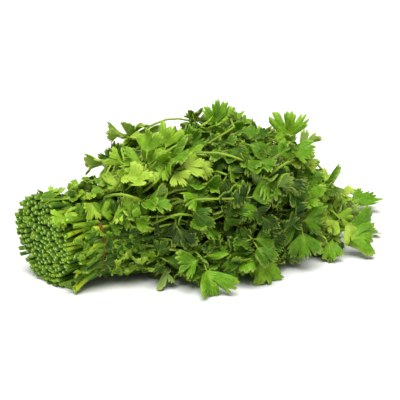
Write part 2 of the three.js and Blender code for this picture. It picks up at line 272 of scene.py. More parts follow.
def between(table, x):
    """The row of a table at x, with each value in proportion between its two rows."""
    if x <= table[0][0]:
        return table[0][1:]
    for before, after in zip(table, table[1:]):
        if x <= after[0]:
            share = (x - before[0]) / (after[0] - before[0])
            return [a + (b - a) * share for a, b in zip(before[1:], after[1:])]
    return table[-1][1:]


def flow(x, u, v):
    """The place at x of a stem that sits at (u, v) from the axis in the bundle's section."""
    sideways, upwards, height = between(SPREAD, x)
    return Vector((x, u * sideways, height + v * upwards))


def settle(point):
    """What would reach the table lies on it, without folding over."""
    soft = 3.0
    if point.z < soft:
        point.z = soft * math.exp((point.z - soft) / soft)
    return point


# Templates: small meshes 1 long or of radius 1, that are stamped wherever they repeat


def fan_outline(cut, spread, notch, tooth_depth):
    """A leaflet's edge, from one side of its base round its lobes to the other."""
    steps = LOBES * TEETH[cut] * POINTS_ON_TOOTH
    lobe_sizes = [rng.uniform(0.8, 1.05) for _ in range(LOBES)]
    skew = rng.uniform(-0.12, 0.12)
    edge = [(-0.03, 0)]
    for i in range(steps + 1):
        share = i / steps
        from_lobe_middle = abs(2 * ((LOBES * share) % 1) - 1)
        tooth = abs(math.sin(math.pi * LOBES * TEETH[cut] * share)) ** 0.9
        radius = 1 - SIDE_LOBE_SHORTER * (2 * share - 1) ** 2
        radius *= lobe_sizes[min(int(LOBES * share), LOBES - 1)]
        radius *= 1 - notch * from_lobe_middle ** 4
        radius *= 1 - tooth_depth * (1 - tooth) * rng.uniform(0.4, 1.6)
        turn = spread * (2 * share - 1) + skew
        edge.append((radius * math.sin(turn), 0.03 + radius * math.cos(turn)))
    edge.append((0.03, 0))
    return edge


def leaflet_template(cut, rows):
    """A lobed blade: x across, y towards the tip, z out of the upper face."""
    spread = rng.uniform(0.8, 1.15)
    notch = rng.uniform(0.22, 0.5)
    tooth_depth = rng.uniform(0.12, 0.2)
    outline = fan_outline(cut, spread, notch, tooth_depth)
    fold, cup = rng.uniform(-0.4, 0.8), rng.uniform(-0.6, 0.5)
    ruffle, phase = rng.uniform(0.05, 0.15), rng.uniform(0, 6)
    crumple, across_phase = rng.uniform(0.03, 0.1), rng.uniform(0, 6)
    roll = rng.uniform(-0.25, 0.15)
    columns = len(outline) - 1
    bm = bmesh.new()
    for name in ("tone", "under"):
        bm.faces.layers.float.new(name)
    blade_map = bm.loops.layers.uv.new("blade")
    bmesh.ops.create_grid(bm, x_segments=columns, y_segments=rows, size=0.5)
    for v in bm.verts:
        column = round((v.co.x + 0.5) * columns)
        share = (v.co.y + 0.5) ** 0.8
        tip_share = 1 - abs(2 * column / columns - 1)
        out = Vector(outline[column])
        x, y = Vector((0, 0.4 * tip_share)).lerp(out, share)
        angle = math.atan2(x, y + 0.02)
        waves = ruffle * share**2 * math.sin(7 * angle + phase)
        waves += crumple * share * math.sin(8 * y + across_phase) * math.cos(6 * x + phase)
        ribs = 0.02 * share * math.cos(9 * angle)
        for loop in v.link_loops:
            loop[blade_map].uv = (column / columns, share)
        v.co = (x, y, fold * abs(x) + cup * x * x + roll * share**5 + waves + ribs)
    bmesh.ops.remove_doubles(bm, verts=bm.verts, dist=1e-4)
    lower = bmesh.ops.extrude_face_region(bm, geom=bm.faces[:], use_keep_orig=True)["geom"]
    lower_verts = [item for item in lower if isinstance(item, bmesh.types.BMVert)]
    bmesh.ops.translate(bm, verts=lower_verts, vec=(0, 0, -BLADE_THICKNESS))
    bmesh.ops.recalc_face_normals(bm, faces=bm.faces)
    under = bm.faces.layers.float["under"]
    for face in bm.faces:
        face.smooth = True
        face[under] = 1.0 if face.normal.z < -0.2 else 0.0
    mesh = bpy.data.meshes.new("leaflet_template")
    bm.to_mesh(mesh)
    bm.free()
    return mesh


def tube_template(sides, stations, cut_end):
    """A tube along +z with a ring at each whole z. Its first end may show a cut face."""
    bm = bmesh.new()
    for name in ("tone", "cap"):
        bm.faces.layers.float.new(name)
    along = bm.loops.layers.uv.new("along")
    bmesh.ops.create_circle(bm, cap_ends=True, segments=sides, radius=1)
    ring = bm.edges[:]
    if cut_end:
        bmesh.ops.inset_region(bm, faces=bm.faces[:], use_boundary=True, use_even_offset=True,
                               thickness=0.5, depth=0.0)
        for v in bm.verts:
            if v.co.length < 0.9:
                v.co.z -= 0.25
        ring = [edge for edge in bm.edges if edge.is_boundary]
    for _ in range(stations):
        made = bmesh.ops.extrude_edge_only(bm, edges=ring)["geom"]
        verts = [item for item in made if isinstance(item, bmesh.types.BMVert)]
        bmesh.ops.translate(bm, verts=verts, vec=(0, 0, 1))
        ring = [item for item in made if isinstance(item, bmesh.types.BMEdge) and item.is_boundary]
    bmesh.ops.holes_fill(bm, edges=[edge for edge in bm.edges if edge.is_boundary], sides=0)
    bmesh.ops.recalc_face_normals(bm, faces=bm.faces)
    cap = bm.faces.layers.float["cap"]
    for face in bm.faces:
        middle = face.calc_center_median()
        if cut_end and middle.z < 0.1:
            face[cap] = 1.0 if middle.xy.length < 0.1 else 0.5
        face.smooth = abs(face.normal.z) < 0.5
        for loop in face.loops:
            reached = loop.vert.co.z / stations
            if not cut_end:
                reached = OUT_OF_BUNDLE + (1 - OUT_OF_BUNDLE) * reached
            loop[along].uv = (loop.vert.co.x * 0.5 + 0.5, reached)
    mesh = bpy.data.meshes.new("tube_template")
    bm.to_mesh(mesh)
    bm.free()
    return mesh


def stamp(bm, template, mapping, tone):
    """Adds a copy of a template to bm, each point where mapping puts it."""
    first_vert, first_face = len(bm.verts), len(bm.faces)
    bm.from_mesh(template)
    bm.verts.ensure_lookup_table()
    bm.faces.ensure_lookup_table()
    for v in bm.verts[first_vert:]:
        v.co = mapping(v.co)
    layer = bm.faces.layers.float["tone"]
    for face in bm.faces[first_face:]:
        face[layer] = tone


def along_path(path, radii, slant=(0, 0)):
    """Maps a tube template onto a path, with a radius for each of its points. The slant
    of its first end is how far it runs forward to the side and upwards."""
    frames = []
    side = Vector((0, 1, 0))
    for i, point in enumerate(path):
        ahead = (path[min(i + 1, len(path) - 1)] - path[max(i - 1, 0)]).normalized()
        side = (side - ahead * side.dot(ahead)).normalized()
        frames.append((point, side, ahead.cross(side), ahead, radii[i]))

    def mapping(co):
        station = round(co.z)
        point, across, up, ahead, radius = frames[station]
        if station == 0:
            point = point + ahead * (slant[0] * co.x + slant[1] * co.y) * radius
        return settle(point + (across * co.x + up * co.y + ahead * (co.z - station)) * radius)

    return mapping


LEAFLETS = {
    "fine": [leaflet_template("fine", 4) for _ in range(24)],
    "coarse": [leaflet_template("coarse", 2) for _ in range(16)],
}
STEM = tube_template(7, STEM_STATIONS + STALK_STATIONS, True)
STALK = tube_template(5, STALK_STATIONS, False)
SHORT_STALK = tube_template(4, 2, False)


# Where stems and leaves grow


def node_number(u, v):
    """Which of the 14 groups of leafy stems a place in the bundle's section is in."""
    ring = math.hypot(u, v) / SOLIDS_RING_PITCH
    turn = (math.atan2(v, u) / (2 * math.pi)) % 1
    if ring < 1.5:
        return 0
    return 1 + int(turn * 4) if ring < 3.5 else 5 + int(turn * 9)


def stem_at(radius, angle):
    """A stem by its place in the bundle's section, from the axis."""
    u, v = radius * math.cos(angle), radius * math.sin(angle)
    stem = {
        "u": u, "v": v, "angle": angle, "radius": radius, "free": True,
        "thick": rng.uniform(*STEM_RADIUS),
        "start": CUT_AT_AXIS - CUT_LEAN * v - CUT_TURN * u + rng.gauss(0, CUT_RAGGED),
        "slant": (-CUT_TURN, -CUT_LEAN),
        "slope": 0,
        "flare": 0,
        "pale": rng.uniform(0.1, 0.7),
    }
    if radius > (STEM_RINGS - 1.5) * STEM_PITCH and math.cos(angle) < -0.4:
        stem["thick"] = rng.uniform(*FRONT_RADIUS)
        stem["start"] += rng.uniform(*FRONT_SETBACK)
        stem["slant"] = tuple(rng.uniform(-FRONT_SLANT, FRONT_SLANT) for _ in range(2))
        stem["slope"] = rng.uniform(*FRONT_SLOPE)
        stem["flare"] = rng.uniform(*FRONT_FLARE)
        stem["pale"] = rng.uniform(0.3, 0.9)
    return stem


def stems_in_rings():
    """Rings of stems round the axis, and loose ones outside them on the viewer's side."""
    stems = []
    for ring in range(STEM_RINGS + 1):
        count = max(1, 6 * ring)
        phase = rng.random()
        for i in range(count):
            angle = 2 * math.pi * (i + phase + rng.uniform(-0.12, 0.12)) / count
            stems.append(stem_at(ring * STEM_PITCH + rng.uniform(-0.5, 0.5), angle))
    for i in range(LOOSE_STEMS):
        angle = math.pi * (LOOSE_FROM + LOOSE_OVER * (i + rng.random()) / LOOSE_STEMS)
        stems.append(stem_at(STEM_RINGS * STEM_PITCH + rng.uniform(0, 1), angle))
    return stems


def on_mound(x, angle, depth):
    """A place on the mound: at x, and at an angle round the axis, 0 at the back."""
    back_width, front_width, height = between(MOUND, x)
    width = back_width if math.cos(angle) > 0 else front_width
    side = math.copysign(math.sqrt(abs(math.cos(angle))), math.cos(angle))
    middle = MOUND_MIDDLE * height
    up = math.sin(angle)
    rise = (height - middle - depth) * up if up > 0 else middle * UNDERSIDE_SHARE * up
    return Vector((x, (width - depth) * side, middle + rise))


def outwards(x, angle):
    """The way that a leaf there looks. Those underneath lie flat on the table."""
    if math.sin(angle) < FACING_DOWN:
        return Vector((0, 0.15 * math.cos(angle), -1)).normalized()
    forward = min(max((x - CREST_X) / CREST_LENGTH, -0.5), 0.9)
    return Vector((forward, math.cos(angle), max(math.sin(angle), -0.15) + 0.15)).normalized()


def leaf_at(at, tip, face, length, leaflets, cut, tone, angle):
    """A leaf by its stalk's end, the way it points and the way its upper face looks."""
    y = tip.normalized()
    z = (face - y * face.dot(y)).normalized()
    rotation = Matrix((y.cross(z), y, z)).transposed()
    return {"at": at, "rotation": rotation, "length": length, "leaflets": leaflets, "cut": cut,
            "tone": tone, "angle": angle, "comes_out": None, "bend": BEND}


def tone_and_painted_light_on_mound(x, angle, depth, height):
    """How pale a leaf is at that place of the mound: its own random tone with painted light and shade."""
    # Painted shade deeper in the mound, painted light upwards, and a random spread for the leaf's own tone.
    tone = TONE + PAINTED_SHADE_PER_MM * depth + PAINTED_LIGHT_UPWARDS * max(0, math.sin(angle))
    tone += rng.gauss(0, TONE_SPREAD)
    # Painted light at the far end and above the tie; on the front, painted light low down and painted shade
    # higher up.
    if x > FAR_END_X:
        tone += PAINTED_LIGHT_AT_FAR_END
    elif x < ABOVE_TIE_X and math.sin(angle) > 0.5:
        tone += PAINTED_LIGHT_ABOVE_TIE
    elif math.cos(angle) < -0.3:
        tone += PAINTED_LIGHT_LOW_FRONT if height < LOW_FRONT_Z else PAINTED_SHADE_HIGH_FRONT
    return tone


def leaf_on_mound(x, angle, layer):
    """A leaf of a layer, pointing outwards and away from the tie, a good deal astray."""
    depth = rng.uniform(*layer["depth"])
    at = on_mound(x, angle, depth)
    face = outwards(x, angle)
    tip = Vector((0.8, 0.4 * math.cos(angle), -0.35 + 0.5 * max(0, math.sin(angle))))
    tip = (tip + face * (rng.uniform(-0.25, 0.5) - tip.dot(face))).normalized()
    tip = Matrix.Rotation(rng.uniform(-1.0, 1.0), 3, face) @ tip
    astray = rng.choice((0.4, 0.8, 1.3))
    face = face + Vector([rng.uniform(-astray, astray) for _ in range(3)])
    if at.z < NEAR_TABLE:
        tip.z = max(tip.z, -0.15)
    tone = tone_and_painted_light_on_mound(x, angle, depth, at.z)
    leaflets = rng.choice((3, 3, 5))
    length = rng.uniform(*layer["length"])
    return leaf_at(at, tip, face, length, leaflets, layer["cut"], tone, angle)


def leaves_standing_out():
    """The leaves that are placed one by one, paler at the near end of the mound."""
    for at, tip, face, length, leaflets in STANDING_OUT:
        angle = math.atan2(at[2] - TIE_HEIGHT, at[1])
        # Painted light: leaves at the near end of the mound are made paler.
        tone = rng.uniform(*STANDING_TONE) + (PAINTED_LIGHT_AT_NEAR_END if at[0] < NEAR_END_X else 0)
        leaf = leaf_at(Vector(at), Vector(tip), Vector(face), length, leaflets, "fine", tone, angle)
        leaf["bend"] = STANDING_BEND
        yield leaf


def leaves_in_layer(layer):
    """Rows round the mound, denser above, staggered from row to row."""
    x = layer["start"]
    row = 0
    while x < MOUND_END + 40:
        back_width, front_width, height = between(MOUND, x)
        girth = GIRTH_FROM_WIDTH * (back_width + front_width) + GIRTH_FROM_HEIGHT * height
        count = max(4, round(girth / layer["apart"]))
        for i in range(count):
            turn = (i + 0.5 * (row % 2)) / count
            turn += TOP_HEAVY * math.sin(2 * math.pi * turn)
            angle = 2 * math.pi * (turn - 0.25) + rng.uniform(-0.2, 0.2)
            shown_stems = math.cos(angle) < 0.15 and math.sin(angle) < 0.35
            start = FRONT_LEAVES_START if shown_stems else layer["start"]
            end = MOUND_END + MOUND_END_SKEW * on_mound(x, angle, 0).y
            if start <= x < end:
                yield leaf_on_mound(x + rng.uniform(-7, 7), angle, layer)
        x += layer["rows"]
        row += 1


def leaves_on_top():
    """Leaves whose stems lie over the others on the mound."""
    places = list(STEMS_ON_TOP)
    for i in range(MORE_ON_TOP):
        turn = MORE_FROM_TURN + MORE_OVER_TURNS * (i + rng.random()) / MORE_ON_TOP
        x_out = rng.uniform(*MORE_OUT_X)
        x = x_out + rng.uniform(*MORE_REACH)
        places.append(((x_out, turn), (x, turn + rng.uniform(-0.06, 0.06))))
    for (x_out, turn_out), (x, turn) in places:
        leaf = leaf_on_mound(x, 2 * math.pi * turn, ON_TOP)
        leaf["comes_out"] = (x_out, 2 * math.pi * turn_out)
        yield leaf


def stem_for(leaf, stems):
    """The free stem that reaches a leaf most directly, or a used one to branch from."""
    wanted = OUTER_STEMS_RADIUS if leaf["at"].x < FAR_LEAVES_X else INNER_STEMS_RADIUS

    def cost(stem):
        turned = math.acos(max(-1, min(1, math.cos(stem["angle"] - leaf["angle"]))))
        used = 0 if stem["free"] else COST_OF_USED
        return turned * COST_OF_TURN + abs(stem["radius"] - wanted) + used

    return min(stems, key=cost)


def stem_path(stem, leaf):
    """A stem from its cut end, along the bundle, and out to its leaf."""
    at = leaf["at"]
    leave = max(at.x - rng.uniform(*STALK_REACH), FIRST_OUT_X)
    if leaf["comes_out"]:
        leave = max(leaf["comes_out"][0] - BEFORE_COMING_OUT, FIRST_ON_TOP_X)
    # Stems sway more the further they are from the tie.
    phase = rng.uniform(0, 6)
    lower = []
    for i in range(STEM_STATIONS):
        x = stem["start"] + (leave - stem["start"]) * i / STEM_STATIONS
        sway = 0.4 + 0.03 * max(0, x - TIE_X)
        before_tie = max(0, TIE_X - x)
        wider = 1 + stem["flare"] * before_tie / TIE_X
        place = flow(x, stem["u"] * wider, stem["v"] * wider - stem["slope"] * before_tie)
        lower.append(place + Vector((0, math.sin(x / 17 + phase), math.cos(x / 14 + phase))) * sway)
    root = flow(leave, stem["u"], stem["v"])
    if leaf["comes_out"]:
        return lower, path_on_top(root, leaf)
    reach = (at - root).length
    out = root + (root - lower[-1]).normalized() * 0.4 * reach
    back = at - leaf["rotation"] @ Vector((0, 0.35 * reach, 0))
    upper = interpolate_bezier(root, out, back, at, STALK_STATIONS + 1)
    return lower, [Vector(point) for point in upper]


def path_on_top(root, leaf):
    """A stem that comes up out of the bundle and lies on the mound as far as its leaf."""
    x_out, angle_out = leaf["comes_out"]
    arch = rng.uniform(1, 4)
    path = [root, root.lerp(on_mound(x_out, angle_out, 2), 0.6)]
    stations = STALK_STATIONS - 2
    for i in range(stations + 1):
        share = i / stations
        angle = angle_out + (leaf["angle"] - angle_out) * share
        x = x_out + (leaf["at"].x - x_out) * share
        path.append(on_mound(x, angle, -2 - arch * math.sin(math.pi * share)))
    path[-1] = leaf["at"]
    return path


def bent(length, bend):
    """How far along and how far down a strip reaches when it bends by so many radians."""
    if abs(bend) < 0.01:
        return length, 0
    return math.sin(bend * length) / bend, (1 - math.cos(bend * length)) / bend


def add_leaflet(bm, template, place, length, tone, bend):
    """Stamps a leaflet that bends along its length, curls across it and twists."""
    droop = rng.uniform(*bend)
    curl = rng.uniform(-CURL, CURL)
    twist = rng.uniform(-TWIST, TWIST)

    def mapping(co):
        y, down = bent(co.y, droop)
        x, sideways_down = bent(co.x, curl)
        z = co.z - down - sideways_down + twist * co.x * co.y
        return settle(place @ (Vector((x, y, z)) * length))

    stamp(bm, template, mapping, tone)


def add_leaf(leaves_bm, stems_bm, leaf):
    """A compound leaf: its leaflets on their short stalks."""
    length = leaf["length"]
    if leaf["leaflets"] == 1:
        parts = [(0, 0, 0, 1.0)]
    else:
        side = rng.uniform(0.8, 0.95)
        parts = [(turn, 0, LEAFLET_STALKS["side"], side) for turn in (-SIDE_TURN, SIDE_TURN)]
        parts.append((0, 0, LEAFLET_STALKS["end"], 1.0))
    if leaf["leaflets"] == 5:
        lower = rng.uniform(0.7, 0.85)
        for turn in (-SIDE_TURN, SIDE_TURN):
            parts.append((turn * 0.9, -LOWER_PAIR * length, LEAFLET_STALKS["lower"], lower))
    for turn, behind, stalk, scale in parts:
        turn += rng.uniform(-0.18, 0.18)
        place = Matrix.Translation(leaf["at"]) @ leaf["rotation"].to_4x4()
        place = place @ Matrix.Translation((0, behind, 0))
        place = place @ Matrix.Rotation(turn, 4, "Z")
        place = place @ Matrix.Rotation(rng.uniform(-0.35, 0.3), 4, "X")
        base = place.translation.copy()
        place = place @ Matrix.Translation((0, stalk * length, 0))
        place = place @ Matrix.Rotation(rng.uniform(-0.45, 0.45), 4, "Y")
        path = [base, base.lerp(place.translation, 0.5), place @ Vector((0, 0.1 * length, 0))]
        stamp(stems_bm, SHORT_STALK, along_path(path, SHORT_STALK_RADII), leaf["tone"])
        template = rng.choice(LEAFLETS[leaf["cut"]])
        tone = leaf["tone"] + rng.gauss(0, 0.05)
        size = length * scale * rng.uniform(0.85, 1.08)
        add_leaflet(leaves_bm, template, place, size, tone, leaf["bend"])


# Materials


def linear(colour, alpha=1.0):
    """An sRGB hex colour as linear numbers."""
    parts = [int(colour[i:i + 2], 16) / 255 for i in (1, 3, 5)]
    return (*[c / 12.92 if c <= 0.04045 else ((c + 0.055) / 1.055) ** 2.4 for c in parts], alpha)


def add(tree, kind, inputs=None, stops=None, **settings):
    """Adds a node with its settings, its inputs' values or links, and its ramp's stops."""
    made = tree.nodes.new(kind)
    for name, value in settings.items():
        setattr(made, name, value)
    for socket, value in (inputs or {}).items():
        if isinstance(value, bpy.types.NodeSocket):
            tree.links.new(value, made.inputs[socket])
        else:
            made.inputs[socket].default_value = value
    if stops:
        elements = made.color_ramp.elements
        while len(elements) < len(stops):
            elements.new(1.0)
        for element, (position, colour) in zip(elements, stops):
            element.position = position
            element.color = linear(colour)
    return made


def new_material(name):
    material = bpy.data.materials.new(name)
    material.use_nodes = True
    tree = material.node_tree
    tree.nodes.clear()
    surface = add(tree, "ShaderNodeBsdfPrincipled")
    add(tree, "ShaderNodeOutputMaterial", {"Surface": surface.outputs["BSDF"]})
    return material, tree, surface


def coriander_leaf():
    """Fresh leaf blade: thin, satin, yellow-green where light comes through, with pale
    veins that fan from the base, a painted highlight along its outer edge, and a paler,
    greyer underside. Its tone brings painted light and shade."""
    material, tree, surface = new_material("coriander_leaf_blade")
    # The tone attribute carries each leaf's own tone with the painted light and shade of where it sits.
    tone = add(tree, "ShaderNodeAttribute", attribute_name="tone").outputs["Fac"]
    under = add(tree, "ShaderNodeAttribute", attribute_name="under").outputs["Fac"]
    place = add(tree, "ShaderNodeTexCoord").outputs["Object"]
    mottle = add(tree, "ShaderNodeTexNoise", {"Vector": place, "Scale": 140, "Detail": 3}).outputs["Fac"]
    crinkle = add(tree, "ShaderNodeTexNoise", {"Vector": place, "Scale": 520, "Detail": 3}).outputs["Fac"]
    both = add(tree, "ShaderNodeMath", {0: mottle, 1: crinkle}, operation="ADD").outputs[0]
    shifted = add(tree, "ShaderNodeMath", {0: both, 1: 0.4, 2: -0.4}, operation="MULTIPLY_ADD")
    mixed = add(tree, "ShaderNodeMath", {0: tone, 1: shifted.outputs[0]}, operation="ADD")
    pale_side = add(tree, "ShaderNodeMath", {0: under, 1: 0.7}, operation="MULTIPLY").outputs[0]
    upper = add(tree, "ShaderNodeValToRGB", {"Fac": mixed.outputs[0]}, stops=[
        (0.0, "#1a3402"), (0.3, "#335906"), (0.6, "#5d8c10"), (0.85, "#8ab228"), (1.0, "#a3c142")])
    pale_green = linear("#8ca656")
    sided = add(tree, "ShaderNodeMix", {"Factor": pale_side, 6: upper.outputs["Color"], 7: pale_green},
                data_type="RGBA")
    blade = add(tree, "ShaderNodeUVMap", uv_map="blade").outputs["UV"]
    axes = add(tree, "ShaderNodeSeparateXYZ", {"Vector": blade}).outputs
    veins = 15
    fanned = add(tree, "ShaderNodeMath", {0: axes["X"], 1: veins * math.pi}, operation="MULTIPLY").outputs[0]
    wave = add(tree, "ShaderNodeMath", {0: fanned}, operation="COSINE").outputs[0]
    off = add(tree, "ShaderNodeMath", {0: wave}, operation="ABSOLUTE").outputs[0]
    away = add(tree, "ShaderNodeMath", {0: off, 1: axes["Y"]}, operation="MULTIPLY").outputs[0]
    vein = add(tree, "ShaderNodeMapRange", {"Value": away, 1: 0.0, 2: 0.2, 3: 1.0, 4: 0.0},
               interpolation_type="SMOOTHSTEP").outputs[0]
    # Painted highlight: the outer edge of the blade is made paler.
    painted_edge_highlight = add(tree, "ShaderNodeMapRange", {"Value": axes["Y"], 1: 0.82, 2: 1.0, 3: 0.0, 4: 0.4},
              interpolation_type="SMOOTHSTEP").outputs[0]
    veins_and_edge_highlight = add(tree, "ShaderNodeMath", {0: vein, 1: 0.2, 2: painted_edge_highlight}, operation="MULTIPLY_ADD").outputs[0]
    veined_and_edge_lit = add(tree, "ShaderNodeMix", {"Factor": veins_and_edge_highlight, 6: sided.outputs[2], 7: linear("#b4cf52")},
                 data_type="RGBA")
    height = add(tree, "ShaderNodeMath", {0: crinkle, 1: vein}, operation="SUBTRACT").outputs[0]
    bump = add(tree, "ShaderNodeBump", {"Height": height, "Strength": 0.6, "Distance": 0.0006})
    tree.links.new(veined_and_edge_lit.outputs[2], surface.inputs["Base Color"])
    tree.links.new(bump.outputs["Normal"], surface.inputs["Normal"])
    surface.inputs["Roughness"].default_value = 0.5
    surface.inputs["Specular IOR Level"].default_value = 0.18
    surface.inputs["Subsurface Weight"].default_value = 0.2
    surface.inputs["Subsurface Radius"].default_value = (0.6, 1.0, 0.2)
    surface.inputs["Subsurface Scale"].default_value = 0.0015
    return material


def coriander_stem():
    """Fresh stem skin: smooth, faintly streaked along its length, pale yellow-green where
    it was cut and greener towards its leaves, partly its own colour and partly painted
    shade, and darkened past the tie as painted shade. Its cut face is moist, with a paler
    centre that is partly the stem's soft core and partly a painted wet glint."""
    material, tree, surface = new_material("coriander_stem_skin")
    # The tone attribute is each stem's paleness; on the short leaflet stalks it is their leaf's tone,
    # painted light and shade included.
    tone = add(tree, "ShaderNodeAttribute", attribute_name="tone").outputs["Fac"]
    cap = add(tree, "ShaderNodeAttribute", attribute_name="cap").outputs["Fac"]
    along = add(tree, "ShaderNodeUVMap", uv_map="along").outputs["UV"]
    far = add(tree, "ShaderNodeSeparateXYZ", {"Vector": along}).outputs["Y"]
    place = add(tree, "ShaderNodeTexCoord").outputs["Object"]
    stretched = add(tree, "ShaderNodeMapping", {"Vector": place, "Scale": (60, 900, 900)}).outputs["Vector"]
    streaks = add(tree, "ShaderNodeTexNoise", {"Vector": stretched, "Scale": 1, "Detail": 2}).outputs["Fac"]
    varied = add(tree, "ShaderNodeMath", {0: tone, 1: -0.6, 2: 0.34}, operation="MULTIPLY_ADD").outputs[0]
    streaked = add(tree, "ShaderNodeMath", {0: streaks, 1: 0.3, 2: varied}, operation="MULTIPLY_ADD")
    graded = add(tree, "ShaderNodeMath", {0: far, 1: streaked.outputs[0]}, operation="ADD").outputs[0]
    # The skin ramp goes from pale at the cut to dark green early on, partly the stem's own colour and partly
    # painted shade under the leaves.
    skin = add(tree, "ShaderNodeValToRGB", {"Fac": graded}, stops=[
        (0.0, "#a5b71e"), (0.15, "#769914"), (0.28, "#3b5d09"), (1.0, "#2c4a08")])
    # Painted shade: from just before the tie on, the stems are mixed towards dark green, as if shaded by the
    # leaves.
    lengthways = add(tree, "ShaderNodeSeparateXYZ", {"Vector": place}).outputs["X"]
    tie_x = (tie_low.x + tie_high.x) / 2
    from_x, to_x = tie_x - 4 * MM, tie_x + 20 * MM
    painted_shade_past_tie = add(tree, "ShaderNodeMapRange", {"Value": lengthways, 1: from_x, 2: to_x, 3: 0.0, 4: 0.6})
    factor = painted_shade_past_tie.outputs[0]
    painted_shade_green = linear("#2f4d08")
    shaded = add(tree, "ShaderNodeMix", {"Factor": factor, 6: skin.outputs["Color"], 7: painted_shade_green},
                 data_type="RGBA")
    stalk = add(tree, "ShaderNodeMapRange", {"Value": far, 1: 0.6, 2: 0.85, 3: 0.0, 4: 0.85}).outputs[0]
    paled = add(tree, "ShaderNodeMix", {"Factor": stalk, 6: shaded.outputs[2], 7: linear("#9cba3a")},
                data_type="RGBA")
    # The cut face's centre is pale, partly the stem's soft core and partly a painted wet glint.
    pith_and_painted_glint = add(tree, "ShaderNodeValToRGB", {"Fac": cap}, stops=[
        (0.4, "#4f7e04"), (0.6, "#5f9006"), (1.0, "#b0cb58")])
    is_cap = add(tree, "ShaderNodeMath", {0: cap, 1: 0.25}, operation="GREATER_THAN").outputs[0]
    colour = add(tree, "ShaderNodeMix", {"Factor": is_cap, 6: paled.outputs[2], 7: pith_and_painted_glint.outputs["Color"]},
                 data_type="RGBA")
    bump = add(tree, "ShaderNodeBump", {"Height": streaks, "Strength": 0.3, "Distance": 0.0003})
    tree.links.new(colour.outputs[2], surface.inputs["Base Color"])
    tree.links.new(bump.outputs["Normal"], surface.inputs["Normal"])
    surface.inputs["Roughness"].default_value = 0.38
    surface.inputs["Specular IOR Level"].default_value = 0.2
    surface.inputs["Subsurface Weight"].default_value = 0.2
    surface.inputs["Subsurface Radius"].default_value = (0.8, 1.0, 0.3)
    surface.inputs["Subsurface Scale"].default_value = 0.002
    return material


def brown_rubber():
    """Natural rubber band: brown, matt with a faint sheen, dusty where it is stretched."""
    material, tree, surface = new_material("brown_natural_rubber")
    place = add(tree, "ShaderNodeTexCoord").outputs["Object"]
    lines = add(tree, "ShaderNodeMapping", {"Vector": place, "Scale": (1800, 160, 160)}).outputs["Vector"]
    dust = add(tree, "ShaderNodeTexNoise", {"Vector": lines, "Scale": 1, "Detail": 2}).outputs["Fac"]
    colour = add(tree, "ShaderNodeValToRGB", {"Fac": dust}, stops=[
        (0.3, "#4c300c"), (0.55, "#74501a"), (0.75, "#96702e")])
    bump = add(tree, "ShaderNodeBump", {"Height": dust, "Strength": 0.3, "Distance": 0.0002})
    tree.links.new(colour.outputs["Color"], surface.inputs["Base Color"])
    tree.links.new(bump.outputs["Normal"], surface.inputs["Normal"])
    surface.inputs["Roughness"].default_value = 0.62
    surface.inputs["Specular IOR Level"].default_value = 0.25
    return material


def pale_table():
    """Matt white laminate: even, with the softest sheen."""
    material, tree, surface = new_material("matt_white_laminate")
    place = add(tree, "ShaderNodeTexCoord").outputs["Object"]
    grain = add(tree, "ShaderNodeTexNoise", {"Vector": place, "Scale": 900, "Detail": 2}).outputs["Fac"]
    colour = add(tree, "ShaderNodeValToRGB", {"Fac": grain}, stops=[(0.3, "#f4f4f2"), (0.7, "#f8f8f6")])
    tree.links.new(colour.outputs["Color"], surface.inputs["Base Color"])
    surface.inputs["Roughness"].default_value = 0.55
    return material


# Pieces


def finish_piece(bm, name, material, node):
    """Turns millimetres along the bunch into a piece in the frame, in place of its node."""
    bm.transform(BUNCH_TO_FRAME)
    mesh = bpy.data.meshes.new(name)
    bm.to_mesh(mesh)
    bm.free()
    mesh.materials.append(material)
    piece = bpy.data.objects.new(name, mesh)
    bpy.context.scene.collection.objects.link(piece)
    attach(piece, "root")
    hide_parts(node)


def new_bmesh(*layers):
    """An empty mesh with the layers of numbers on its faces that the materials read."""
    bm = bmesh.new()
    for layer in layers:
        bm.faces.layers.float.new(layer)
    return bm


def stem_radii(stem):
    """The stem thins on its way out, to the thickness of a leaf stalk."""
    thick = stem["thick"]
    lower = [thick * (1 - STEM_THINS_BY * i / STEM_STATIONS) for i in range(STEM_STATIONS)]
    left = (1 - STEM_THINS_BY) * thick
    shares = [i / STALK_STATIONS for i in range(STALK_STATIONS + 1)]
    return lower + [left * (1 - share) + STALK_RADIUS * share for share in shares]


def branch_radii():
    """A stalk that branches from a stem that already bears a leaf."""
    thins_by = BRANCH_RADIUS - STALK_RADIUS
    return [BRANCH_RADIUS - thins_by * i / STALK_STATIONS for i in range(STALK_STATIONS + 1)]


def stamp_stem(bm, stem, leaf):
    """A free stem from its cut end to its leaf, or a branch of one that is in use."""
    lower, upper = stem_path(stem, leaf)
    if stem["free"]:
        path = along_path(lower + upper, stem_radii(stem), stem["slant"])
        stamp(bm, STEM, path, stem["pale"])
    else:
        stamp(bm, STALK, along_path(upper, branch_radii()), stem["pale"])


